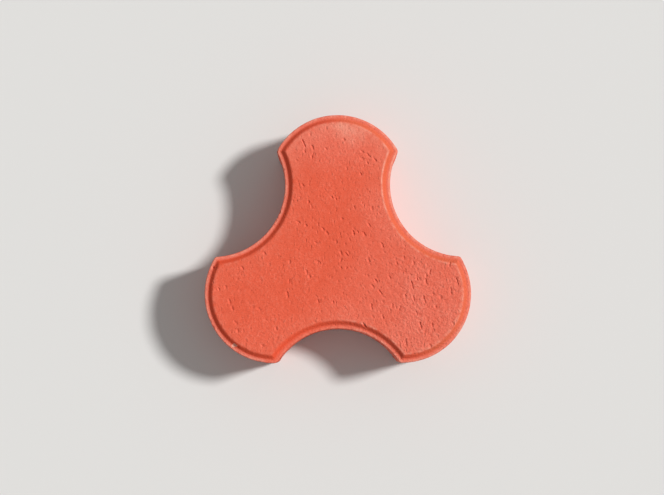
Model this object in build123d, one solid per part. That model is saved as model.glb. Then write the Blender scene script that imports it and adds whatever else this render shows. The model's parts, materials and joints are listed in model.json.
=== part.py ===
from build123d import *
import os

# Interlocking concrete paving stone with three round lobes and three hollows.
# One dry-pressed block: upright walls, and a flat wearing face raised above a stepped rim.
# The lobes of each stone fill the hollows of the stones laid round it.
# Origin: on the bed face, at the centre of the threefold pattern. +Z is up, one lobe points to +Y.

# Laying pattern
PITCH = 195.0               # from the centre of a laid stone to the centre of the next one
JOINT = 2.5                 # open joint between two laid stones

# Outline
LOBE_RADIUS = 62.0
LOBE_CENTRE_RADIUS = 66.0   # from the centre of the stone to the centre of a lobe
CORNER_RADIUS = 3.0         # upright rounding where a lobe meets a hollow

# Height
THICKNESS = 60.0            # from the bed to the raised field

# Stepped rim round the wearing face
RIM_DEPTH = 3.5             # height of the field above the ledge
LEDGE_WIDTH = 3.6           # from the wall to the foot of the slope
SLOPE_WIDTH = 3.5           # from the foot of the slope to its crest
COVE_RADIUS = 1.8           # hollow rounding at the foot of the slope
CREST_RADIUS = 2.6          # rounding where the slope runs into the field
LEDGE_ARRIS_RADIUS = 1.0    # rounding of the outer edge of the ledge

# How far a cut runs past what it removes
CUT_OVERRUN = 5.0

# Directions, in degrees from +X
LOBES = 3
FIRST_LOBE = 90
FIRST_HOLLOW = FIRST_LOBE + 180 / LOBES
RIM_CUT_SPAN = 150          # sweep of a rim cut, more than the sweep of any arc of the outline

# A hollow is concentric with the lobe of the next stone, and a joint wider
HOLLOW_RADIUS = LOBE_RADIUS + JOINT
HOLLOW_CENTRE_RADIUS = PITCH - LOBE_CENTRE_RADIUS
LEDGE_LEVEL = THICKNESS - RIM_DEPTH

LOBE_PLACES = PolarLocations(LOBE_CENTRE_RADIUS, LOBES, FIRST_LOBE)
HOLLOW_PLACES = PolarLocations(HOLLOW_CENTRE_RADIUS, LOBES, FIRST_HOLLOW)
FACING_IN = Rot(Z=180)      # turns a shape at such a place to face the centre of the stone


def outline():
    """Plan of the stone: lobes added to the triangle of the hollows' centres, then the hollows cut."""
    web = RegularPolygon(HOLLOW_CENTRE_RADIUS, LOBES, rotation=FIRST_HOLLOW)
    lobes = [place * FACING_IN * Circle(LOBE_RADIUS) for place in LOBE_PLACES]
    hollows = [place * Circle(HOLLOW_RADIUS) for place in HOLLOW_PLACES]
    plan = web + lobes - hollows
    return fillet(plan.vertices(), CORNER_RADIUS)


def rim_cut(wall_radius, inward):
    """What the stepped rim takes off along one arc, turned about the arc's upright axis.

    The stone lies inside the arc of a lobe (inward is -1) and outside that of a hollow (inward is 1).
    """
    outside = wall_radius - inward * CUT_OVERRUN
    foot = wall_radius + inward * LEDGE_WIDTH
    crest = foot + inward * SLOPE_WIDTH
    field = crest + inward * CREST_RADIUS
    above = THICKNESS + CUT_OVERRUN
    step = FilletPolyline(
        (outside, LEDGE_LEVEL),
        (foot, LEDGE_LEVEL),
        (crest, THICKNESS),
        (field, THICKNESS),
        radius=[COVE_RADIUS, CREST_RADIUS],
    )
    over = Polyline((field, THICKNESS), (field, above), (outside, above), (outside, LEDGE_LEVEL))
    ring = revolve(Plane.XZ * make_face([step, over]), Axis.Z, RIM_CUT_SPAN)
    return Rot(Z=-RIM_CUT_SPAN / 2) * ring


def paving_stone():
    """The whole stone: the extruded plan, its rim cut arc by arc, then the edge of its ledge rounded."""
    block = extrude(outline(), THICKNESS)
    lobe_cuts = [place * rim_cut(LOBE_RADIUS, -1) for place in LOBE_PLACES]
    hollow_cuts = [place * FACING_IN * rim_cut(HOLLOW_RADIUS, 1) for place in HOLLOW_PLACES]
    stone = block - lobe_cuts - hollow_cuts

    walls = stone.faces().filter_by(GeomType.CYLINDER)
    ledge_edges = [wall.edges().sort_by(Axis.Z)[-1] for wall in walls]
    return fillet(ledge_edges, LEDGE_ARRIS_RADIUS)


os.makedirs("parts", exist_ok=True)
export_step(paving_stone(), "parts/paving_stone.step")
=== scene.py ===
import functools
import json
import math
import random

import bmesh
import bpy
from mathutils import Matrix, Vector, kdtree, noise


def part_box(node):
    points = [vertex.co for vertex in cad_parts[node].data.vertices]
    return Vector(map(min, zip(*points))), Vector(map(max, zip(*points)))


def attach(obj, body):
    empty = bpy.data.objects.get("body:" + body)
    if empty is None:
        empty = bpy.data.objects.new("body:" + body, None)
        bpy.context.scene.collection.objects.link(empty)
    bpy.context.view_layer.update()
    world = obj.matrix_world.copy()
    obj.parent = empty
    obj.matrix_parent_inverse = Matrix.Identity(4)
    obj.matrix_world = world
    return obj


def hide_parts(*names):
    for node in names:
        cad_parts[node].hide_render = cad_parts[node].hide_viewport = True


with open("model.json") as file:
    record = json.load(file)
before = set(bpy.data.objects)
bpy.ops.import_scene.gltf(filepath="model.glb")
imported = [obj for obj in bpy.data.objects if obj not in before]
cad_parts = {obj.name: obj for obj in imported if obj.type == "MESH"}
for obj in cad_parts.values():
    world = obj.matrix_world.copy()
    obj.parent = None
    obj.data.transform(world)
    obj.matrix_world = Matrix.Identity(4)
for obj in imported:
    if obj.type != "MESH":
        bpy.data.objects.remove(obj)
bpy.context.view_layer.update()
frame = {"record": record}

# Interlocking concrete paving stone: three lobes, three hollows and a stepped rim round a raised field.
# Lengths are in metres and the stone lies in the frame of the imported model, its bed on the floor.

STONE = "paving_stone"
MM = 0.001
UP = Vector((0, 0, 1))

# Plan of the stone
LOBES = 3
FIRST_LOBE = math.radians(90)
PATTERN_HALF = math.pi / LOBES
LOBE_RADIUS = 62 * MM
JOINT = 2.5 * MM
CORNER_RADIUS = 3 * MM

# Section of the rim, from the wall to the field
RIM_DEPTH = 3.5 * MM
LEDGE_WIDTH = 3.6 * MM
SLOPE_WIDTH = 3.5 * MM
COVE_RADIUS = 1.8 * MM
CREST_RADIUS = 2.6 * MM
LEDGE_ARRIS_RADIUS = 1.0 * MM
BED_ARRIS_RADIUS = 0.7 * MM

# Steps of the mesh along the outline
LOBE_STEPS = 104
HALF_HOLLOW_STEPS = 60
CORNER_STEPS = 3

# Steps of the mesh along the section, from the bed to the field
BED_EDGE_STEPS = 2
BED_ARRIS_STEPS = 2
WALL_STEPS = 17
LEDGE_ARRIS_STEPS = 3
LEDGE_STEPS = 2
COVE_STEPS = 3
SLOPE_STEPS = 3
CREST_STEPS = 4

# Points of the mesh that are no further apart than this are one.
# Insets are rounded, so that each corner is worked out once.
WELD = 0.01 * MM
INSET_DECIMALS = 7

# Values from 0 to 1 that the mesh carries for the finish
SURFACES = ("wall", "ledge", "slope", "worn", "pressed", "lip", "fresh", "verge")

# Half widths of the worn lines on the rim, and width of the paler margin of the field
ARRIS_WEAR = 1.6 * LEDGE_ARRIS_RADIUS
CREST_WEAR = CREST_RADIUS / 2
VERGE_WIDTH = 18 * MM


def mount_place(name):
    """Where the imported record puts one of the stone's mounts."""
    return next(Vector(mount["pos_m"]) for mount in frame["record"]["mounts"] if mount["name"] == name)


bed_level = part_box(STONE)[0].z
field_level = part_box(STONE)[1].z
ledge_level = field_level - RIM_DEPTH
LOBE_CENTRE = mount_place("lobe_back").y - LOBE_RADIUS
HOLLOW_RADIUS = LOBE_RADIUS + JOINT
HOLLOW_CENTRE = HOLLOW_RADIUS - mount_place("hollow_front").y
SLOPE_ANGLE = math.atan2(RIM_DEPTH, SLOPE_WIDTH)
CREST_INSET = LEDGE_WIDTH + SLOPE_WIDTH
FIELD_INSET = CREST_INSET + CREST_RADIUS * math.tan(SLOPE_ANGLE / 2)


def clamp(value):
    """A value kept between 0 and 1."""
    return min(1.0, max(0.0, value))


def peak(value, middle, spread):
    """1 in the middle of a range and 0 at its ends."""
    return max(0.0, 1 - abs(value - middle) / spread)


def direction(angle):
    """Level unit vector at an angle from +X."""
    return Vector((math.cos(angle), math.sin(angle), 0))


def layers_of(bm, *names):
    """The layers of a bmesh that hold some of the values it carries."""
    return [bm.verts.layers.float[name] for name in names]


@functools.cache
def corner_of(inset):
    """Turns from a lobe's axis and from a hollow's axis to where their arcs meet, at an inset."""
    lobe = direction(FIRST_LOBE) * LOBE_CENTRE
    hollow = direction(FIRST_LOBE + PATTERN_HALF) * HOLLOW_CENTRE
    between = hollow - lobe
    near = LOBE_RADIUS - inset
    far = HOLLOW_RADIUS + inset
    span = between.length
    at_lobe = math.acos((near ** 2 + span ** 2 - far ** 2) / (2 * near * span))
    at_hollow = math.acos((far ** 2 + span ** 2 - near ** 2) / (2 * far * span))
    lobe_turn = direction(FIRST_LOBE).angle(between) - at_lobe
    hollow_turn = hollow.angle(between) + at_hollow
    return lobe_turn, hollow_turn


def draw_run(bm, tip, across, level, steps):
    """Draws a straight run of the section from its tip."""
    start = tip.co.copy()
    end = Vector((across, 0, level))
    for step in range(1, steps + 1):
        tip = bmesh.ops.extrude_vert_indiv(bm, verts=[tip])["verts"][0]
        tip.co = start.lerp(end, step / steps)
    return tip


def draw_turn(bm, tip, across, level, angle, steps):
    """Draws a round stretch of the section from its tip, about a centre."""
    turned = bmesh.ops.spin(
        bm, geom=[tip], cent=(across, 0, level), axis=(0, 1, 0), angle=angle, steps=steps)
    return next(part for part in turned["geom_last"] if isinstance(part, bmesh.types.BMVert))


def draw_section(bm):
    """Draws the edge of the stone from the bed to the field, as inset along X and level along Z."""
    bed_arris = bed_level + BED_ARRIS_RADIUS
    ledge_arris = ledge_level - LEDGE_ARRIS_RADIUS
    cove_start = LEDGE_WIDTH - COVE_RADIUS * math.tan(SLOPE_ANGLE / 2)
    slope_end = FIELD_INSET - CREST_RADIUS * math.sin(SLOPE_ANGLE)
    slope_top = field_level - CREST_RADIUS * (1 - math.cos(SLOPE_ANGLE))
    quarter = math.pi / 2
    tip = bm.verts.new((CORNER_RADIUS, 0, bed_level))
    tip = draw_run(bm, tip, BED_ARRIS_RADIUS, bed_level, BED_EDGE_STEPS)
    tip = draw_turn(bm, tip, BED_ARRIS_RADIUS, bed_arris, quarter, BED_ARRIS_STEPS)
    tip = draw_run(bm, tip, 0, ledge_arris, WALL_STEPS)
    tip = draw_turn(bm, tip, LEDGE_ARRIS_RADIUS, ledge_arris, quarter, LEDGE_ARRIS_STEPS)
    tip = draw_run(bm, tip, cove_start, ledge_level, LEDGE_STEPS)
    tip = draw_turn(bm, tip, cove_start, ledge_level + COVE_RADIUS, -SLOPE_ANGLE, COVE_STEPS)
    tip = draw_run(bm, tip, slope_end, slope_top, SLOPE_STEPS)
    draw_turn(bm, tip, FIELD_INSET, field_level - CREST_RADIUS, SLOPE_ANGLE, CREST_STEPS)
    everything = bm.verts[:] + bm.edges[:]
    at_corner = (CORNER_RADIUS, 0, 0)
    bmesh.ops.bisect_plane(bm, geom=everything, plane_co=at_corner, plane_no=(1, 0, 0), dist=WELD)


def name_surfaces(bm):
    """Writes on the section which surface each point belongs to. The turned copies keep it."""
    wall, ledge, slope, worn = layers_of(bm, "wall", "ledge", "slope", "worn")
    for vert in bm.verts:
        inset, level = vert.co.x, vert.co.z
        on_rim = level > ledge_level - LEDGE_ARRIS_RADIUS / 2
        if not on_rim:
            vert[wall] = float(level > bed_level + BED_ARRIS_RADIUS / 2)
            continue
        vert[ledge] = float(inset < LEDGE_WIDTH)
        vert[slope] = peak(inset, LEDGE_WIDTH + SLOPE_WIDTH / 2, SLOPE_WIDTH)
        arris = peak(inset, LEDGE_ARRIS_RADIUS, ARRIS_WEAR)
        crest = peak(inset, CREST_INSET + CREST_RADIUS / 4, CREST_WEAR)
        vert[worn] = max(arris, crest)


def turn_section(bm, section, centre, wall_radius, side, start, turn, steps):
    """Turns a copy of the section about an upright axis and returns the new vertices.

    The stone lies inside the arc of a lobe or corner (side is -1) and outside a hollow's (side is 1).
    """
    known = set(bm.verts)
    copied = bmesh.ops.duplicate(bm, geom=section)["geom"]
    at_wall = Matrix.Translation((wall_radius, 0, 0)) @ Matrix.Scale(side, 4, (1, 0, 0))
    place = Matrix.Translation(centre) @ Matrix.Rotation(start, 4, "Z") @ at_wall
    verts = [part for part in copied if isinstance(part, bmesh.types.BMVert)]
    bmesh.ops.transform(bm, matrix=place, verts=verts)
    bmesh.ops.spin(bm, geom=copied, cent=centre, axis=UP, angle=turn, steps=steps)
    return [vert for vert in bm.verts if vert not in known]


def pull_to_mitre(verts, centre, axis, wall_radius, side, which):
    """Spreads the rows of an arc so that each one ends where the arc beside it crosses it."""
    full_turn = corner_of(CORNER_RADIUS)[which]
    for vert in verts:
        reach = vert.co - centre
        reach.z = 0
        inset = side * (reach.length - wall_radius)
        turned = axis.to_2d().angle_signed(reach.to_2d())
        inset = round(max(inset, CORNER_RADIUS), INSET_DECIMALS)
        share = corner_of(inset)[which] / full_turn
        flat = Matrix.Rotation(-turned * share, 3, "Z") @ axis * reach.length
        vert.co.xy = (centre + flat).xy


def turn_third(bm):
    """Turns the section round one lobe, its two corners and the near half of each hollow beside it."""
    section = bm.verts[:] + bm.edges[:]
    outer_verts = [vert for vert in bm.verts if vert.co.x < CORNER_RADIUS + WELD]
    outer_edges = [edge for edge in bm.edges if all(vert in outer_verts for vert in edge.verts)]
    lobe_turn, hollow_turn = corner_of(CORNER_RADIUS)
    corner_turn = PATTERN_HALF + hollow_turn - lobe_turn
    lobe_axis = direction(FIRST_LOBE)
    lobe = lobe_axis * LOBE_CENTRE
    verts = turn_section(
        bm, section, lobe, LOBE_RADIUS, -1, FIRST_LOBE - lobe_turn, 2 * lobe_turn, LOBE_STEPS)
    pull_to_mitre(verts, lobe, lobe_axis, LOBE_RADIUS, -1, 0)
    for side in (1, -1):
        hollow_angle = FIRST_LOBE + side * PATTERN_HALF
        hollow = direction(hollow_angle) * HOLLOW_CENTRE
        inner_angle = hollow_angle + math.pi
        verts = turn_section(
            bm, section, hollow, HOLLOW_RADIUS, 1, inner_angle, side * hollow_turn, HALF_HOLLOW_STEPS)
        pull_to_mitre(verts, hollow, direction(inner_angle), HOLLOW_RADIUS, 1, 1)
        corner_angle = FIRST_LOBE + side * lobe_turn
        corner = lobe + direction(corner_angle) * (LOBE_RADIUS - CORNER_RADIUS)
        turn_section(
            bm, outer_verts + outer_edges, corner, CORNER_RADIUS, -1, corner_angle,
            side * corner_turn, CORNER_STEPS)
    drawn = [part for part in section if isinstance(part, bmesh.types.BMVert)]
    bmesh.ops.delete(bm, geom=drawn, context="VERTS")
    bmesh.ops.remove_doubles(bm, verts=bm.verts, dist=WELD)


def half_hollow(bm, side, level, inset):
    """The edges along one half hollow of the third, at a level and an inset."""
    hollow = direction(FIRST_LOBE + side * PATTERN_HALF) * HOLLOW_CENTRE + UP * level
    radius = HOLLOW_RADIUS + inset

    def lies_there(vert):
        return abs(vert.co.z - level) < WELD and abs((vert.co - hollow).length - radius) < WELD

    return [edge for edge in bm.edges if edge.is_boundary and all(map(lies_there, edge.verts))]


def lay_face(bm, level, inset):
    """Closes the third's bed or field with a patch of quads that reaches the centre of the stone."""
    hub = bm.verts.new((0, 0, level))
    spokes = []
    for side in (1, -1):
        rail = {vert for edge in half_hollow(bm, side, level, inset) for vert in edge.verts}
        middle = min(rail, key=lambda vert: vert.co.xy.length)
        spokes.append(bm.edges.new((hub, middle)))
    bmesh.ops.subdivide_edges(bm, edges=spokes, cuts=LOBE_STEPS // 2 - 1)
    rails = half_hollow(bm, 1, level, inset) + half_hollow(bm, -1, level, inset)
    patch = set(bmesh.ops.grid_fill(bm, edges=rails, use_smooth=True)["faces"])
    layers = layers_of(bm, *SURFACES)
    for vert in bm.verts:
        if patch.issuperset(vert.link_faces):
            for layer in layers:
                vert[layer] = 0.0


def inset_of(place):
    """How far a place lies inside the outline of the stone, seen from above."""
    flat = Vector((place.x, place.y, 0))
    axes = [direction(FIRST_LOBE + 2 * PATTERN_HALF * number) for number in range(LOBES)]
    inset = min((flat + axis * HOLLOW_CENTRE).length - HOLLOW_RADIUS for axis in axes)
    if max(flat.dot(axis) for axis in axes) < LOBE_CENTRE:
        return inset
    return min(inset, max(LOBE_RADIUS - (flat - axis * LOBE_CENTRE).length for axis in axes))


def name_verge(bm):
    """Writes how near each point of the field is to its crest, from 0 to 1."""
    [verge] = layers_of(bm, "verge")
    for vert in bm.verts:
        if vert.co.z > field_level - WELD:
            vert[verge] = clamp(1 - (inset_of(vert.co) - FIELD_INSET) / VERGE_WIDTH)


def stone_mesh():
    """The whole stone as one closed bmesh: a third of it, repeated round the centre and welded."""
    bm = bmesh.new()
    for name in SURFACES:
        bm.verts.layers.float.new(name)
    draw_section(bm)
    name_surfaces(bm)
    turn_third(bm)
    lay_face(bm, field_level, FIELD_INSET)
    lay_face(bm, bed_level, CORNER_RADIUS)
    third = bm.verts[:] + bm.edges[:] + bm.faces[:]
    copies = LOBES - 1
    bmesh.ops.spin(
        bm, geom=third, cent=(0, 0, 0), axis=UP, angle=2 * PATTERN_HALF * copies, steps=copies,
        use_duplicate=True)
    bmesh.ops.remove_doubles(bm, verts=bm.verts, dist=WELD)
    bmesh.ops.recalc_face_normals(bm, faces=bm.faces)
    name_verge(bm)
    return bm


# Seed of everything that is left to chance
SEED = 11

# Marks pressed into the field, in mm and degrees:
# place, length and how far the upper end leans to the left
FIELD_MARKS = (
    (-30, 102, 8, 20), (-29, 95, 4, 5), (-22, 98, 5, 30), (-22, 91, 6, -20),
    (-24, 110, 3, 0), (-10, 97, 3, 30), (6, 105, 3, 20), (22, 94, 4, 60), (28, 91, 6, 45),
    (34, 87, 5, 40), (22, 88, 4, 70), (27, 84, 3, 30), (-31, 64, 4, 45), (-26, 49, 3, 10),
    (-5, 53, 2.5, 30), (-1.5, 51.5, 2.5, 40), (21, 74, 3, 30), (31, 43, 4, 5),
    (-35, 31, 4, 60), (-28, 28, 3, 20), (-13, 24.5, 4, 38), (-9.5, 21, 4.5, 30),
    (4, 34, 3, 60), (28, 28, 4, 35), (14, 21, 5, 15), (18, 22, 3, 20), (24, 20, 4.5, 40),
    (-19, 12.5, 4, 60), (-1, 13, 3, 0), (40, 10, 5.5, 30), (3, 3, 4.5, 25), (8, 2, 4.5, 40),
    (3, -3.5, 4, -20), (-17, -5, 4.5, 40), (28, -3, 5, 8), (3, -10, 3, 10),
    (8, -10.5, 3, -45), (-28, -14, 5.5, 15), (-25, -18, 3.5, 10), (34, -22, 4.5, 25),
    (-85, -10, 4.5, 35), (-65, 3, 3, 20), (-100, -27, 3.5, 30), (-106, -29, 3.5, 20),
    (-96.5, -40, 5.5, 14), (-94, -46, 5, 25), (-45, -34, 6, 8), (-43, -22, 4, 5),
    (-43, -5, 4, 10), (-91, -59, 5, 40), (-89, -66, 4, 20), (-55, -64, 4, 10),
    (-70, -47, 4, 60), (-17, -40, 3.5, 20), (-4, -41, 3, 25), (59, -1.5, 4, 5),
    (53, -6.5, 3, 20), (68, -6, 4, 20), (100, -7.5, 5, 0), (82.5, -14, 5, -8),
    (79, -17.5, 4, 10), (46, -18.5, 4.5, 15), (71, -20.5, 3, 10), (78.5, -23, 5, 0),
    (66.5, -26, 8, 16), (106.5, -22.5, 7.5, 12), (101, -30.5, 7.5, 0), (85, -34, 2.5, 0),
    (67.5, -38, 5.5, 0), (77, -38.5, 7, 14), (91.5, -36.5, 4, 10), (60, -35, 3.5, 15),
    (38, -32, 6, 38), (31, -27, 4.5, 45), (30, -45, 6, 5), (40, -54, 5, 12),
    (48.5, -44, 4, 0), (55, -46.5, 4.5, 0), (70, -50.5, 5, 15), (87.5, -45, 3.5, 10),
    (73.5, -62, 7, 14), (102, -60, 4.5, 20), (84, -61, 3.5, 10), (60, -77, 4, 10),
    (82, -80, 4, 40),
)

# Shape of a mark: its size, how steep and how gentle its sides are, how far it reaches, and its lip
MARK_WIDTH = 2.4 * MM
MARK_DEPTH = 0.8 * MM
STEEP_SIDE = 1.4
GENTLE_SIDE = 0.8
MARK_REACH = 0.7
LIP_MIDDLE = 1.2
LIP_SPREAD = 0.2
LIP_RISE = 0.1

# Dabs that make up a mark: their size, how they crowd, and how they stray from its line,
# with turns in radians. A mark longer than the last length gets narrower, deeper and straighter.
DAB_LENGTH = 4.2 * MM
DAB_EXCESS = 1.2
DAB_CROWDING = 1.6
DAB_WITHIN = 0.8
DAB_JOG = 0.3 * MM
DAB_TURN = 0.25
DAB_BEND = 0.5
DAB_WIDTHS = (0.85, 1.2)
DAB_DEPTHS = (0.8, 1.1)
SLIM_LENGTH = 5.5 * MM

# Smaller marks strewn over the field: how many, lengths, widths and depths from least to most in mm,
# and the middle and spread of their lean in degrees
SMALL_MARKS = 310
SMALL_SIZES = ((1.8, 4.4), (1.4, 2.2), (0.25, 0.6))
SMALL_LEAN = (18, 18)
SMALL_BEND = 0.6
SMALL_MARGIN = 2 * MM

# Where they are strewn: a box round the stone, and the way in which they get denser
STREW_REACH = 120 * MM
STREW_FRONT = -0.8
DENSER_WAY = Vector((0.8, -0.6, 0))
DENSER_SPAN = 160 * MM
DENSITY_MIDDLE = 0.5
DENSITY_LEAST = 0.25

# Chips in the rim, in mm and degrees:
# place, drop below the field, length, width, depth and lean
RIM_CHIPS = (
    (23.8, -61.4, 0.3, 6.5, 2.8, 1.5, 35),
    (-110.9, -9.3, 3.5, 2.6, 2.4, 1.5, 0),
    (-109.2, -10.6, 2.0, 2.4, 1.6, 0.8, 0),
    (-89.3, -80.4, 1.5, 2.0, 1.8, 0.8, 50),
    (-111.3, -23.5, 0.3, 2.0, 1.6, 0.5, 10),
)
FRESH_CHIPS = (
    (-91.9, -78.8, 2.0, 5.0, 3.0, 0.8, 53),
    (-93.3, -79.4, 3.0, 3.4, 2.6, 0.4, 53),
)

# Holes and chips strewn by chance: how many, and lengths, widths and depths from least to most in mm
WALL_HOLES = (110, (1.6, 4.2), (1.4, 3.2), (0.5, 1.2))
ARRIS_CHIPS = (34, (1.8, 5.0), (1.4, 2.4), (0.25, 0.6))
BED_CHIPS = (40, (3.0, 9.0), (2.4, 4.0), (0.4, 1.1))
CHIP_BEND = 0.4

# Where they are strewn: clear of the wall's foot and head, on the worn arris of the ledge,
# and on faces of the bed's edge that are neither level nor upright
PLAIN_FOOT = 4 * MM
PLAIN_HEAD = 3 * MM
ARRIS_WORN = 0.3
LEVEL_FACE = 0.95
UPRIGHT_FACE = 0.2

# Cuts of the mesh round clear marks and round faint ones
CLEAR_CUTS = 2
FAINT_CUTS = 1

# How fast a fresh chip, and the painted shade and highlight in a mark, reach full strength with depth
FRESH_GAIN = 3
MARK_SHADE_AND_HIGHLIGHT_GAIN = 1.5


class Mark:
    """An oblong hollow pressed into a surface, with a low lip round it."""

    def __init__(self, place, facing, along, length, width, depth, bend=0, fresh=False):
        self.place = place
        self.fresh = fresh
        self.along = along
        self.across = along.cross(facing).normalized()
        self.length = length
        self.width = width
        self.depth = depth
        self.bend = bend
        self.reach = MARK_REACH * max(length, width)

    def press(self, vert):
        """How far a point sinks, and its shares of the steep side and of the gentle side or the lip."""
        offset = vert.co - self.place
        along = offset.dot(self.along) / (self.length / 2)
        across = offset.dot(self.across) / (self.width / 2) - self.bend * (along * along - 0.5)
        across *= STEEP_SIDE if across > 0 else GENTLE_SIDE
        near = along * along + across * across
        if near < 1:
            steep = clamp(0.5 + across)
            return self.depth * (1 - near), steep * (1 - near), (1 - steep) * (1 - near) / 2
        lip = peak(math.sqrt(near), LIP_MIDDLE, LIP_SPREAD)
        return -LIP_RISE * self.depth * lip, 0.0, lip / 2


def astray(most):
    """A chance value no further from 0 than the most."""
    return random.uniform(-most, most)


def dabs(place, along, length):
    """The short overlapping hollows that make up one mark, a little out of line with each other."""
    reach = min(DAB_EXCESS * length, DAB_LENGTH)
    count = max(1, round(DAB_CROWDING * length / DAB_LENGTH))
    slim = min(1, SLIM_LENGTH / length)
    run = max(0, length - DAB_WITHIN * reach)
    made = []
    for number in range(count):
        middle = place
        if count > 1:
            middle = place + along * run * (number / (count - 1) - 0.5)
            middle += along.cross(UP) * astray(DAB_JOG) * slim
        turned = Matrix.Rotation(astray(DAB_TURN) * slim, 3, "Z") @ along
        width = MARK_WIDTH * random.uniform(*DAB_WIDTHS) * slim
        depth = MARK_DEPTH * random.uniform(*DAB_DEPTHS) / slim
        made.append(Mark(middle, UP, turned, reach, width, depth, astray(DAB_BEND)))
    return made


def field_marks():
    """The marks of the field that are listed one by one."""
    marks = []
    for x, y, length, lean in FIELD_MARKS:
        place = Vector((x * MM, y * MM, field_level))
        marks += dabs(place, direction(FIRST_LOBE + math.radians(lean)), length * MM)
    return marks


def small_marks():
    """Smaller marks strewn over the field, most of them to the right."""
    marks = []
    while len(marks) < SMALL_MARKS:
        place = Vector((random.uniform(-1, 1), random.uniform(STREW_FRONT, 1), 0)) * STREW_REACH
        density = DENSITY_MIDDLE + place.dot(DENSER_WAY) / DENSER_SPAN
        on_field = inset_of(place) > FIELD_INSET + SMALL_MARGIN
        if not on_field or random.random() > max(DENSITY_LEAST, density):
            continue
        along = direction(FIRST_LOBE + math.radians(random.gauss(*SMALL_LEAN)))
        length, width, depth = (random.uniform(*ends) * MM for ends in SMALL_SIZES)
        place.z = field_level
        marks.append(Mark(place, UP, along, length, width, depth, astray(SMALL_BEND)))
    return marks


def tree_of(places):
    """Places sorted for quick search."""
    tree = kdtree.KDTree(len(places))
    for number, place in enumerate(places):
        tree.insert(place, number)
    tree.balance()
    return tree


def rim_chips(bm):
    """The listed chips, each set on the nearest point of the stone and facing as it does."""
    verts = bm.verts[:]
    tree = tree_of([vert.co for vert in verts])
    chips = []
    for chip in RIM_CHIPS + FRESH_CHIPS:
        x, y, drop, length, width, depth, lean = chip
        _, number, _ = tree.find((x * MM, y * MM, field_level - drop * MM))
        place, facing = verts[number].co.copy(), verts[number].normal
        along = direction(FIRST_LOBE + math.radians(lean))
        fresh = chip in FRESH_CHIPS
        chips.append(Mark(place, facing, along, length * MM, width * MM, depth * MM, fresh=fresh))
    return chips


def strewn_chips(verts, count, *sizes):
    """Chips or holes by chance on a strip of the stone."""
    tree = tree_of([vert.co for vert in verts])
    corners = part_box(STONE)
    chips = []
    for _ in range(count):
        aim = Vector(random.uniform(low, high) for low, high in zip(*corners))
        _, number, _ = tree.find(aim)
        place, facing = verts[number].co.copy(), verts[number].normal
        along = facing.cross(UP).normalized()
        length, width, depth = (random.uniform(*ends) * MM for ends in sizes)
        chips.append(Mark(place, facing, along, length, width, depth, astray(CHIP_BEND)))
    return chips


def edge_chips(bm):
    """Holes in the walls, and chips along the edge of the ledge and along the bed."""
    wall, ledge, worn = layers_of(bm, "wall", "ledge", "worn")
    walls = []
    arris = []
    foot = []
    for vert in bm.verts:
        level, facing_up = vert.co.z, vert.normal.z
        if vert[wall] > 0.5 and bed_level + PLAIN_FOOT < level < ledge_level - PLAIN_HEAD:
            walls.append(vert)
        if vert[ledge] > 0.5 and vert[worn] > ARRIS_WORN and facing_up < LEVEL_FACE:
            arris.append(vert)
        if level < bed_level + BED_ARRIS_RADIUS and -LEVEL_FACE < facing_up < -UPRIGHT_FACE:
            foot.append(vert)
    chips = strewn_chips(walls, *WALL_HOLES)
    chips += strewn_chips(arris, *ARRIS_CHIPS)
    chips += strewn_chips(foot, *BED_CHIPS)
    return chips


def split_round(bm, marks, cuts):
    """Divides the quads round the marks, so that the mesh can follow them."""
    edges = bm.edges[:]
    tree = tree_of([(edge.verts[0].co + edge.verts[1].co) / 2 for edge in edges])
    near = {number for mark in marks for _, number, _ in tree.find_range(mark.place, mark.reach)}
    chosen = [edges[number] for number in sorted(near)]
    bmesh.ops.subdivide_edges(bm, edges=chosen, cuts=cuts, use_grid_fill=True)


def press_marks(bm, marks):
    """Sinks the points under the marks along their normals, each by the deepest mark over it."""
    pressed, lip, fresh = layers_of(bm, "pressed", "lip", "fresh")
    verts = bm.verts[:]
    tree = tree_of([vert.co for vert in verts])
    bm.normal_update()
    deepest = {}
    for mark in marks:
        for _, number, _ in tree.find_range(mark.place, mark.reach):
            sink, steep, gentle = mark.press(verts[number])
            if number not in deepest or sink > deepest[number][0]:
                deepest[number] = (sink, steep, gentle, mark)
    for number, (sink, steep, gentle, mark) in deepest.items():
        vert = verts[number]
        vert.co -= vert.normal * sink
        if mark.fresh:
            vert[fresh] = clamp(FRESH_GAIN * sink / mark.depth)
            continue
        strength = clamp(MARK_SHADE_AND_HIGHLIGHT_GAIN * mark.depth / MARK_DEPTH)
        # On the field's marks the steep side faces away from the sun: its share carries painted shade,
        # and the share of the gentle side and lip carries wear and a painted highlight
        vert[pressed] = steep * strength
        vert[lip] = gentle * strength


# Unevenness of the cast surfaces: height of its bumps in mm, their size and a seed
SWELL = ((0.09, 45 * MM, 1), (0.05, 16 * MM, 2))
FIELD_GRIT = ((0.12, 4.5 * MM, 3), (0.12, 2.4 * MM, 4))
WALL_GRIT = ((0.30, 4.5 * MM, 3), (0.30, 2.6 * MM, 4))
WALL_DRAG = ((0.12, 2.2 * MM, 5),)
BED_PITS = ((0.35, 4 * MM, 6), (0.20, 2 * MM, 7))

# How rough the field is on the left, how much rougher on the right, and how rough the rim is;
# how far the mould drew out its drag marks, and how far below the arris the walls get smooth
ROUGH_LEFT = 0.8
ROUGH_MORE = 0.5
ROUGH_SLANT = 0.4
ROUGH_SPAN = 60 * MM
ROUGH_RIM = 0.3
DRAG_DRAW = 12
ARRIS_FADE = 8 * MM


def wander(place, bumps):
    """Soft noise with bumps of some heights and sizes."""
    return sum(
        height * noise.noise(place / size + Vector((1, 2, 3)) * seed) for height, size, seed in bumps)


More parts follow.
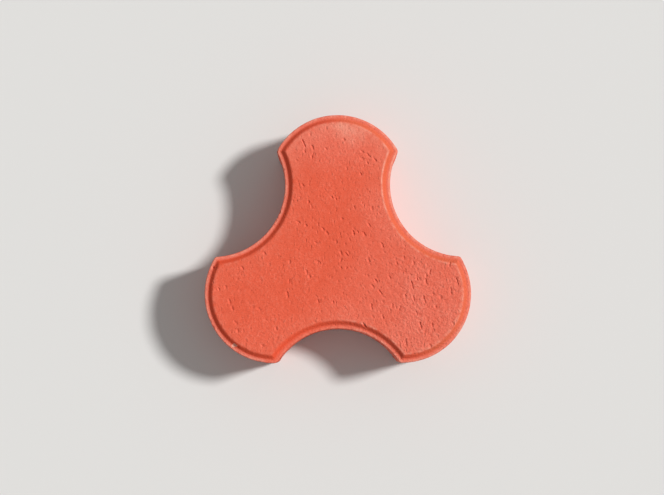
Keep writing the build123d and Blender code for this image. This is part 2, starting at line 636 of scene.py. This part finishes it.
def cast_unevenly(bm):
    """Moves the surfaces a little off true: a wavy field, walls dragged by the mould, an open bed."""
    wall, ledge, slope = layers_of(bm, "wall", "ledge", "slope")
    bm.normal_update()
    moves = []
    for vert in bm.verts:
        place = vert.co
        broad = wander(place, SWELL)
        if vert[wall] > 0.5:
            dragged = Vector((place.x, place.y, place.z / DRAG_DRAW))
            fine = wander(place, WALL_GRIT) + wander(dragged, WALL_DRAG)
            fine *= clamp((ledge_level - place.z) / ARRIS_FADE)
        elif vert.normal.z < -0.5:
            fine = -sum(abs(wander(place, [pits])) for pits in BED_PITS)
            broad = -abs(broad)
        elif vert[ledge] or vert[slope]:
            fine = ROUGH_RIM * wander(place, FIELD_GRIT)
        else:
            rough = ROUGH_LEFT + ROUGH_MORE * clamp((place.x - ROUGH_SLANT * place.y) / ROUGH_SPAN)
            fine = rough * wander(place, FIELD_GRIT)
        moves.append((broad + fine) * MM)
    for vert, move in zip(bm.verts, moves):
        vert.co += vert.normal * move


# Colours of the concrete, as linear red, green and blue
PIGMENT = (0.83, 0.122, 0.060, 1)
PIGMENT_DEEP = (0.78, 0.106, 0.048, 1)
PIGMENT_PALE = (0.85, 0.148, 0.082, 1)
# Darkening laid in low places, nicks, voids and marks: partly dirt, partly painted shade in these
# recesses
DIRT_AND_SHADE = (0.78, 0.54, 0.48, 1)
DUST = (0.87, 0.203, 0.137, 1)
HAZE = (0.92, 0.360, 0.255, 1)
LEDGE_DUST = (0.84, 0.185, 0.120, 1)
# Slopes: a deeper red painted as shade on those facing away from the sun, and a paler tone painted as
# light on sunward ones
SLOPE_SHADED_RED = (0.72, 0.068, 0.021, 1)
SLOPE_SUNLIT_TONE = (0.63, 0.114, 0.042, 1)
# Pale colour of wear and dust on high places, crumbs, edges and lips, also laid as a painted highlight
# on the sunward crest and on the sunward sides of marks
WEAR_AND_HIGHLIGHT = (0.92, 0.350, 0.250, 1)
RAW_TONE = (0.88, 0.87, 0.88, 1)
LIME = (0.80, 0.400, 0.310, 1)
PEBBLE = (0.58, 0.320, 0.240, 1)
SAND_DARK = (0.86, 0.82, 0.80, 1)
SAND_LIGHT = (1.03, 1.03, 1.03, 1)

# Noises of the finish: size of the bumps and how much finer detail they have
CLOUD = (38 * MM, 3)
BLOTCH = (5 * MM, 4)
SKIN = (1.9 * MM, 3)
SAND = (0.8 * MM, 2)
SWAY = (2.0 * MM, 2)
STREAK = (2.6 * MM, 3)

# Cells of its scatters, how far their places sway, and how nicks and streaks are drawn out
NICK_CELL = 3.8 * MM
PINHOLE_CELL = 3.2 * MM
PEBBLE_CELL = 4.0 * MM
VOID_CELL = 2.8 * MM
SWAY_REACH = (2 * MM, 2 * MM, 2 * MM)
NICK_LEAN = (0, 0, math.radians(-17))
NICK_DRAW = (1, 0.45, 1)
STREAK_DRAW = (1, 1, 0.10)

# Parts of the stone, by place: where each starts and where it is full, and how far some of them slant
ON_RIGHT = (-20 * MM, 70 * MM)
ON_BACK = (62 * MM, 112 * MM)
ON_LEFT = (0, -60 * MM)
ON_UNEVEN = (0, 110 * MM)
ON_SUNWARD = (25 * MM, 65 * MM)
ON_CREST_HIGHLIGHT = (-50 * MM, 40 * MM)
ON_FRONT_RIM = (HOLLOW_RADIUS + 14 * MM, HOLLOW_RADIUS + 6 * MM)
ON_FRONT_LEFT = (20 * MM, -15 * MM)
ON_NECK_START = (25 * MM, 60 * MM)
ON_NECK_END = (108 * MM, 92 * MM)
ON_NECK_SIDE = (20 * MM, 35 * MM)
ON_BED = (1.0 * MM, 0.4 * MM)
ON_FOOT = (20 * MM, 0)
RIGHT_SLANT = -0.3
UNEVEN_SLANT = -0.4
SUNWARD_SLANT = 0.35

# Parts of a noise or scatter that a coat takes: where it starts and where it is full
IN_CLOUD = (0.35, 0.65)
IN_PALE = (0.35, 0.75)
IN_DUST = (0.0, 1.0)
IN_VERGE = (0.0, 0.7)
IN_HAZE = (-0.1, 0.9)
IN_UNEVEN = (0.4, 0.6)
IN_HIGH = (0.5, 0.75)
IN_LOW = (0.46, 0.25)
IN_NICK = (0.32, 0.06)
IN_RUBBED = (0.3, 0.7)
IN_STREAK = (0.50, 0.75)
IN_STREAK_PATCH = (0.40, 0.65)
IN_LIME = (0.8, 1.25)
IN_PEBBLE = (0.45, 0.30)
IN_VOID = (0.42, 0.14)
IN_SAND = (0.3, 0.65)
IN_PINHOLE = (0.3, 0.05)
NICK_CELLS = (0.45, 0.7)
CRUMB_CELLS = (0.45, 0.25)
PEBBLE_CELLS = (0.76, 0.86)
VOID_CELLS = (0.40, 0.75)
PINHOLE_CELLS = (0.55, 0.7)

# Spots of a pale haze of dust on the back lobe: place and radius in mm, and strength
HAZE_SPOTS = ((5, 117, 14, 0.8), (15, 110, 17, 0.5))

# Strengths of the coats, with two values where one gets stronger over the stone
PALE_SHARE = 0.3
BACK_SHARE = 0.9
DUST_BLOTCH = 0.3
DUST_SHARE = 0.7
VERGE_SHARES = (0.09, 0.29)
UNEVEN_PLACE = 0.6
UNEVEN_CLOUD = 0.4
HIGH_SHARES = (0.08, 0.30)
LOW_SHARES = (0.18, 0.63)
CELL_SHARES = (0.55, 1.0)
NICK_SHARE = 0.3
CRUMB_SHARE = 0.12
LEDGE_SHARE = 0.45
LEDGE_LEFT = 0.5
LEDGE_RIGHT = 0.2
FRONT_CLEANED = 0.65
SLOPE_SHARE = 0.85
# The crest's pale line: its painted highlight grows toward the sun and on the right neck
CREST_HIGHLIGHT_SHARES = (0.35, 1.0)
RUBBED_BLOTCH = 0.75
NECK_HIGHLIGHT = 0.45
FRESH_SHARE = 0.9
STREAK_SHARE = 0.35
LIME_SHARE = 0.32
PEBBLE_SHARE = 0.36
VOID_SHARE = 0.8
# Painted shade on the steep sides of marks, and wear with a painted highlight on their gentle sides and
# lips
MARK_SHADE_SHARE = 0.7
LIP_WEAR_AND_HIGHLIGHT_SHARES = (0.2, 0.55)

# Gloss of the finish
ROUGHNESSES = (0.78, 0.92)
SHINE = 0.3

# Heights of the relief in mm
PEEL_HEIGHTS = (0.38, 1.33)
SAND_HEIGHT = 0.08
PINHOLE_HEIGHT = -0.28
NICK_HEIGHT = -0.5
CRUMB_HEIGHT = 0.35
VOID_HEIGHT = -0.7
STREAK_HEIGHT = 0.5


class Nodes:
    """A tree of shader nodes, with short words for those that the finishes are made of."""

    def __init__(self, tree):
        self.tree = tree

    def feed(self, socket, value):
        """Links an output to a socket, or writes a value on it."""
        if isinstance(value, bpy.types.NodeSocket):
            self.tree.links.new(value, socket)
        else:
            socket.default_value = value

    def add(self, kind, settings=None, **sockets):
        """Adds a node, sets it up and feeds its sockets by name."""
        made = self.tree.nodes.new(kind)
        for name, value in (settings or {}).items():
            setattr(made, name, value)
        for name, value in sockets.items():
            self.feed(made.inputs[name.replace("_", " ")], value)
        return made

    def sum_up(self, kind, how, *values):
        """A step of arithmetic between values or outputs."""
        made = self.add(kind, {"operation": how})
        for socket, value in zip(made.inputs, values):
            self.feed(socket, value)
        return made.outputs

    def times(self, first, second):
        """Product of two values or outputs."""
        return self.sum_up("ShaderNodeMath", "MULTIPLY", first, second)["Value"]

    def plus(self, first, second):
        """Sum of two values or outputs."""
        return self.sum_up("ShaderNodeMath", "ADD", first, second)["Value"]

    def less(self, first, second):
        """What is left of the first value or output without the second."""
        return self.sum_up("ShaderNodeMath", "SUBTRACT", first, second)["Value"]

    def most(self, first, second):
        """The greater of two values or outputs."""
        return self.sum_up("ShaderNodeMath", "MAXIMUM", first, second)["Value"]

    def blend(self, share, first, second, how="MIX"):
        """Colour that goes from the first to the second as the share goes from 0 to 1."""
        made = self.add("ShaderNodeMix", {"data_type": "RGBA", "blend_type": how})
        inputs = {socket.identifier: socket for socket in made.inputs}
        self.feed(inputs["Factor_Float"], share)
        self.feed(inputs["A_Color"], first)
        self.feed(inputs["B_Color"], second)
        return next(socket for socket in made.outputs if socket.identifier == "Result_Color")

    def ramp(self, value, low, high):
        """Share that rises smoothly from 0 where a value is low to 1 where it is high."""
        smooth = {"interpolation_type": "SMOOTHSTEP"}
        spread = self.add("ShaderNodeMapRange", smooth, Value=value, From_Min=low, From_Max=high)
        return spread.outputs["Result"]

    def rise(self, share, least, most):
        """Value that goes from a least to a most as the share goes from 0 to 1."""
        return self.plus(self.times(share, most - least), least)

    def grain(self, place, size, detail):
        """Soft noise round one half with bumps of a size."""
        return self.add("ShaderNodeTexNoise", Vector=place, Scale=1 / size, Detail=detail).outputs

    def cells(self, place, size):
        """Scattered cells: the distance from the middle of each, and a chance colour of its own."""
        return self.add("ShaderNodeTexVoronoi", Vector=place, Scale=1 / size).outputs

    def in_some(self, cells, shape, chosen):
        """Share that is full in the middle of some of the cells."""
        return self.times(self.ramp(cells["Distance"], *shape), self.ramp(cells["Color"], *chosen))

    def carried(self, name):
        """A value that the mesh carries."""
        return self.add("ShaderNodeAttribute", {"attribute_name": name}).outputs["Fac"]


class Concrete(Nodes):
    """Through-coloured red concrete, laid coat by coat."""

    def __init__(self, tree):
        super().__init__(tree)
        self.place = self.add("ShaderNodeTexCoord").outputs["Object"]
        lengths = self.add("ShaderNodeSeparateXYZ", Vector=self.place).outputs
        self.across, self.along, self.level = lengths
        self.cloud = self.grain(self.place, *CLOUD)["Fac"]
        self.blotch = self.grain(self.place, *BLOTCH)["Fac"]
        self.skin = self.grain(self.place, *SKIN)["Fac"]
        self.sand = self.grain(self.place, *SAND)["Fac"]
        sway = self.grain(self.place, *SWAY)["Color"]
        self.swayed = self.sum_up(
            "ShaderNodeVectorMath", "MULTIPLY_ADD", sway, SWAY_REACH, self.place)["Vector"]
        self.on = {name: self.carried(name) for name in SURFACES}
        self.on["field"] = self.less(1.0, self.most(self.on["ledge"], self.on["slope"]))
        self.on["raw"] = self.most(self.on["wall"], self.ramp(self.level, *ON_BED))
        self.on["right"] = self.ramp(self.slanted(RIGHT_SLANT), *ON_RIGHT)
        self.on["back"] = self.times(self.ramp(self.along, *ON_BACK), BACK_SHARE)
        uneven_place = self.times(self.ramp(self.slanted(UNEVEN_SLANT), *ON_UNEVEN), UNEVEN_PLACE)
        uneven_cloud = self.times(self.ramp(self.cloud, *IN_UNEVEN), UNEVEN_CLOUD)
        self.uneven = self.plus(uneven_place, uneven_cloud)
        self.colour = PIGMENT_DEEP

    def slanted(self, slant):
        """Places across the stone, drawn along it by a slant."""
        return self.plus(self.across, self.times(self.along, slant))

    def far_from(self, x, y):
        """Distance from a place on the field."""
        spot = (x, y, field_level)
        return self.sum_up("ShaderNodeVectorMath", "DISTANCE", self.place, spot)["Value"]

    def coat(self, colour, share, *masks, how="MIX"):
        """Lays a colour over the last one, as strong as the share times every mask."""
        for mask in masks:
            share = self.times(share, mask)
        self.colour = self.blend(share, self.colour, colour, how)

    def lay_pigment(self):
        """Pigment, deeper in some places than in others."""
        self.coat(PIGMENT, self.ramp(self.cloud, *IN_CLOUD))
        self.coat(PIGMENT_PALE, PALE_SHARE, self.ramp(self.blotch, *IN_PALE))

    def lay_dust(self):
        """Dust on the right lobe and on the back one, along the crest and in hazy spots."""
        patchy = self.ramp(self.plus(self.cloud, self.times(self.blotch, DUST_BLOTCH)), *IN_DUST)
        self.coat(DUST, DUST_SHARE, self.most(self.on["right"], self.on["back"]), patchy)
        verge_share = self.rise(self.on["back"], *VERGE_SHARES)
        self.coat(HAZE, verge_share, self.on["verge"], self.ramp(self.blotch, *IN_VERGE))
        for x, y, radius, strength in HAZE_SPOTS:
            near = self.ramp(self.far_from(x * MM, y * MM), radius * MM, 0)
            self.coat(HAZE, strength, near, self.on["field"], self.ramp(self.blotch, *IN_HAZE))

    def lay_skin(self):
        """A skin paler on its high places, and darker in its low ones with dirt and painted shade, most
        of all to the right.
        """
        self.coat(WEAR_AND_HIGHLIGHT, self.rise(self.uneven, *HIGH_SHARES), self.ramp(self.skin, *IN_HIGH))
        # The low places get dirt and painted shade
        low = self.ramp(self.skin, *IN_LOW)
        self.coat(DIRT_AND_SHADE, self.rise(self.uneven, *LOW_SHARES), low, how="MULTIPLY")

    def strew_nicks(self):
        """Faint leaning nicks, darkened with painted shade, and crumbs in some cells of a scatter.
        Returns where they are.
        """
        leaning = self.add("ShaderNodeMapping", Vector=self.swayed, Rotation=NICK_LEAN, Scale=NICK_DRAW)
        cells = self.cells(leaning.outputs["Vector"], NICK_CELL)
        in_cell = self.times(self.ramp(cells["Distance"], *IN_NICK), self.on["field"])
        in_cell = self.times(in_cell, self.rise(self.uneven, *CELL_SHARES))
        nick = self.times(in_cell, self.ramp(cells["Color"], *NICK_CELLS))
        crumb = self.times(in_cell, self.ramp(cells["Color"], *CRUMB_CELLS))
        # Painted shade in the nicks
        self.coat(DIRT_AND_SHADE, NICK_SHARE, nick, how="MULTIPLY")
        self.coat(WEAR_AND_HIGHLIGHT, CRUMB_SHARE, crumb)
        return nick, crumb

    def lay_rim(self):
        """A dusty ledge, cleaner on the left of the front hollow; slopes a deeper red as painted shade
        away from the sun and paler as painted light toward it; worn edges, whose pale line along the
        crest is partly a painted highlight that grows toward the sun and on the right neck.
        """
        in_front = self.ramp(self.far_from(0, -HOLLOW_CENTRE), *ON_FRONT_RIM)
        in_front = self.times(in_front, self.ramp(self.across, *ON_FRONT_LEFT))
        uncleaned = self.less(1.0, self.times(in_front, FRONT_CLEANED))
        left_share = self.times(self.ramp(self.across, *ON_LEFT), LEDGE_LEFT)
        right_share = self.times(self.on["right"], LEDGE_RIGHT)
        ledge_share = self.plus(self.plus(left_share, right_share), LEDGE_SHARE)
        self.coat(LEDGE_DUST, ledge_share, self.on["ledge"], uncleaned)

        # Slope colour: deeper red as painted shade away from the sun, paler as painted light toward it
        sunward = self.ramp(self.slanted(SUNWARD_SLANT), *ON_SUNWARD)
        self.coat(self.blend(sunward, SLOPE_SHADED_RED, SLOPE_SUNLIT_TONE), SLOPE_SHARE, self.on["slope"])

        # The crest's pale line is partly wear and partly a painted highlight, stronger toward the sun
        # and on the right neck
        crest_highlight = self.rise(self.ramp(self.across, *ON_CREST_HIGHLIGHT), *CREST_HIGHLIGHT_SHARES)
        neck_highlight = self.times(self.ramp(self.along, *ON_NECK_START), self.ramp(self.along, *ON_NECK_END))
        neck_highlight = self.times(neck_highlight, self.ramp(self.across, *ON_NECK_SIDE))
        patchy = self.times(self.ramp(self.blotch, *IN_RUBBED), RUBBED_BLOTCH)
        wear_and_highlight_share = self.plus(patchy, self.times(neck_highlight, NECK_HIGHLIGHT))
        self.coat(WEAR_AND_HIGHLIGHT, wear_and_highlight_share, self.on["worn"], uncleaned, self.most(self.on["ledge"], crest_highlight))
        self.coat(LIME, FRESH_SHARE, self.on["fresh"])

    def lay_walls(self):
        """Walls and bed: open and sandy, streaked by the mould, limy at the foot, with a few pebbles
        and with voids darkened by painted shade.

        Returns where the voids and the streaks are.
        """
        raw = self.on["raw"]
        self.coat(RAW_TONE, raw, how="MULTIPLY")
        drawn_out = self.add("ShaderNodeMapping", Vector=self.place, Scale=STREAK_DRAW)
        streak = self.grain(drawn_out.outputs["Vector"], *STREAK)["Fac"]
        patchy = self.ramp(self.blotch, *IN_STREAK_PATCH)
        self.coat(LIME, STREAK_SHARE, self.on["wall"], self.ramp(streak, *IN_STREAK), patchy)
        limy = self.ramp(self.plus(self.blotch, self.cloud), *IN_LIME)
        self.coat(LIME, LIME_SHARE, raw, self.ramp(self.level, *ON_FOOT), limy)
        pebble = self.in_some(self.cells(self.swayed, PEBBLE_CELL), IN_PEBBLE, PEBBLE_CELLS)
        self.coat(PEBBLE, PEBBLE_SHARE, raw, pebble)
        void = self.in_some(self.cells(self.swayed, VOID_CELL), IN_VOID, VOID_CELLS)
        void = self.times(void, raw)
        # Painted shade in the voids
        self.coat(DIRT_AND_SHADE, VOID_SHARE, void, how="MULTIPLY")
        return void, self.times(self.on["wall"], streak)

    def lay_marks(self):
        """Painted shade on the steep side of the marks, wear and a painted highlight on their gentle
        sides and lips, and the sand of the mix as fine specks.
        """
        self.coat(DIRT_AND_SHADE, MARK_SHADE_SHARE, self.on["pressed"], how="MULTIPLY")
        self.coat(WEAR_AND_HIGHLIGHT, self.rise(self.uneven, *LIP_WEAR_AND_HIGHLIGHT_SHARES), self.on["lip"])
        specks = self.blend(self.ramp(self.sand, *IN_SAND), SAND_DARK, SAND_LIGHT)
        self.coat(specks, 1.0, how="MULTIPLY")

    def relief(self, nick, crumb, void, streak):
        """Normals of a skin like orange peel with sand, pinholes and what is strewn over it."""
        pinhole = self.in_some(self.cells(self.place, PINHOLE_CELL), IN_PINHOLE, PINHOLE_CELLS)
        height = self.times(self.skin, self.rise(self.uneven, *PEEL_HEIGHTS))
        for form, rise in (
            (self.sand, SAND_HEIGHT), (pinhole, PINHOLE_HEIGHT), (nick, NICK_HEIGHT),
            (crumb, CRUMB_HEIGHT), (void, VOID_HEIGHT), (streak, STREAK_HEIGHT),
        ):
            height = self.plus(height, self.times(form, rise))
        return self.add("ShaderNodeBump", Strength=1.0, Distance=MM, Height=height).outputs["Normal"]


def concrete():
    """The stone's material."""
    material = bpy.data.materials.new("red_concrete")
    material.use_nodes = True
    shader = material.node_tree.nodes["Principled BSDF"]
    finish = Concrete(material.node_tree)
    finish.lay_pigment()
    finish.lay_dust()
    finish.lay_skin()
    nick, crumb = finish.strew_nicks()
    finish.lay_rim()
    void, streak = finish.lay_walls()
    finish.lay_marks()
    finish.feed(shader.inputs["Base Color"], finish.colour)
    finish.feed(shader.inputs["Roughness"], finish.rise(finish.blotch, *ROUGHNESSES))
    finish.feed(shader.inputs["Normal"], finish.relief(nick, crumb, void, streak))
    shader.inputs["Specular IOR Level"].default_value = SHINE
    return material


def place_piece(name, bm, material):
    """Makes a piece of the scene from a bmesh."""
    mesh = bpy.data.meshes.new(name)
    bm.to_mesh(mesh)
    bm.free()
    mesh.materials.append(material)
    piece = bpy.data.objects.new(name, mesh)
    bpy.context.scene.collection.objects.link(piece)
    return piece


def lay_stone():
    """Makes the stone's piece, which stands for the solid of the frame."""
    random.seed(SEED)
    bm = stone_mesh()
    bm.normal_update()
    clear_marks = field_marks() + rim_chips(bm)
    faint_marks = small_marks() + edge_chips(bm)
    split_round(bm, clear_marks, CLEAR_CUTS)
    split_round(bm, faint_marks, FAINT_CUTS)
    cast_unevenly(bm)
    press_marks(bm, clear_marks + faint_marks)
    bmesh.ops.recalc_face_normals(bm, faces=bm.faces)
    for face in bm.faces:
        face.smooth = True
    stone = place_piece("cast_stone", bm, concrete())
    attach(stone, "root")
    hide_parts(STONE)


# Floor and sky, and the sun, which stands to the right and a little to the back
PALE = (0.74, 0.73, 0.71, 1)
FLOOR_RADIUS = 6
FLOOR_SEGMENTS = 64
FLOOR_GAP = 0.2 * MM
FLOOR_ROUGHNESS = 0.9
SUN_AZIMUTH = math.radians(17)
SUN_ELEVATION = math.radians(43)
SUN_WIDTH = math.radians(9)
SUN_SHARE = 0.69

# The camera looks down at the stone from almost straight above
CAMERA_PLACE = Vector((-5.35, -75.1, 1246.6)) * MM
CAMERA_TILT = math.radians(4)
CAMERA_ROLL = math.radians(-0.17)
CAMERA_WIDTH = math.radians(28)


def lay_floor():
    """A plain pale floor under the stone."""
    bm = bmesh.new()
    bmesh.ops.create_circle(bm, cap_ends=True, radius=FLOOR_RADIUS, segments=FLOOR_SEGMENTS)
    bmesh.ops.translate(bm, vec=(0, 0, bed_level - FLOOR_GAP), verts=bm.verts)
    material = bpy.data.materials.new("pale_floor")
    material.use_nodes = True
    shader = material.node_tree.nodes["Principled BSDF"]
    shader.inputs["Base Color"].default_value = PALE
    shader.inputs["Roughness"].default_value = FLOOR_ROUGHNESS
    floor = place_piece("floor", bm, material)


def set_camera():
    """The camera over the stone, tilted and rolled a little."""
    camera = bpy.data.cameras.new("camera")
    camera.sensor_fit = "HORIZONTAL"
    camera.angle = CAMERA_WIDTH
    holder = bpy.data.objects.new("camera", camera)
    holder.location = CAMERA_PLACE
    holder.rotation_euler = (CAMERA_TILT, 0, CAMERA_ROLL)
    bpy.context.scene.collection.objects.link(holder)
    bpy.context.scene.camera = holder


def set_light():
    """One broad sun and an even sky, which together light a level face as bright as its colour.

    The camera sees the sky as pale as the floor.
    """
    sun = bpy.data.lights.new("key", "SUN")
    sun.energy = SUN_SHARE * math.pi / math.sin(SUN_ELEVATION)
    sun.angle = SUN_WIDTH
    holder = bpy.data.objects.new("key", sun)
    towards = direction(SUN_AZIMUTH) * math.cos(SUN_ELEVATION) + UP * math.sin(SUN_ELEVATION)
    holder.rotation_euler = towards.to_track_quat("Z", "Y").to_euler()
    bpy.context.scene.collection.objects.link(holder)
    world = bpy.data.worlds.new("sky")
    world.use_nodes = True
    sky = Nodes(world.node_tree)
    rays = sky.add("ShaderNodeLightPath").outputs
    mirrored = sky.most(rays["Is Glossy Ray"], rays["Is Transmission Ray"])
    seen = sky.most(rays["Is Camera Ray"], mirrored)
    sky_share = 1 - SUN_SHARE
    even = (sky_share, sky_share, sky_share, 1)
    sky.feed(world.node_tree.nodes["Background"].inputs["Color"], sky.blend(seen, even, PALE))
    bpy.context.scene.world = world


set_camera()
set_light()
lay_floor()
lay_stone()
bpy.context.scene.view_settings.view_transform = "Standard"
